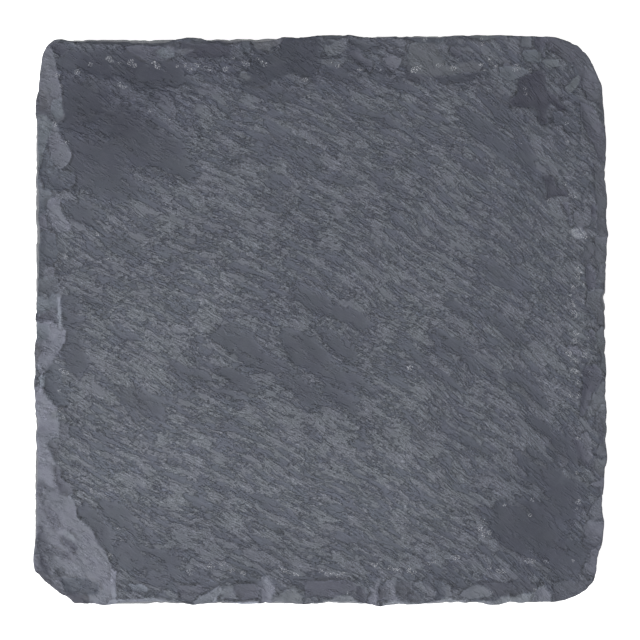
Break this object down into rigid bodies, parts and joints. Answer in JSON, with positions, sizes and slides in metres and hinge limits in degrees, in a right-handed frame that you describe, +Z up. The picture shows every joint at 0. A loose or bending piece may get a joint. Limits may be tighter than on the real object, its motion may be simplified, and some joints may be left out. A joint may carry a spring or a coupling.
{
  "type": "slate slab",
  "caption": "Small square slab of riven dark grey slate with hand-chipped edges, flat underneath, standing on soft stick-on rubber feet.",
  "frame": {"origin": "on the table, under the centre of the slab's outline", "axes": "+Z up through the thickness, +X to the right along the longer side, +Y to the rear"},
  "size_m": [0.1, 0.0994, 0.0078],
  "materials": {
    "slate": "riven, matt",
    "rubber": "matt",
    "adhesive": "milky acrylic film"
  },
  "bodies": {
    "root": {"stone_slab": "slate", "foot_front_left": "rubber", "foot_front_right": "rubber", "foot_rear_left": "rubber", "foot_rear_right": "rubber", "foot_adhesive_front_left": "adhesive", "foot_adhesive_front_right": "adhesive", "foot_adhesive_rear_left": "adhesive", "foot_adhesive_rear_right": "adhesive"}
  },
  "joints": []
}
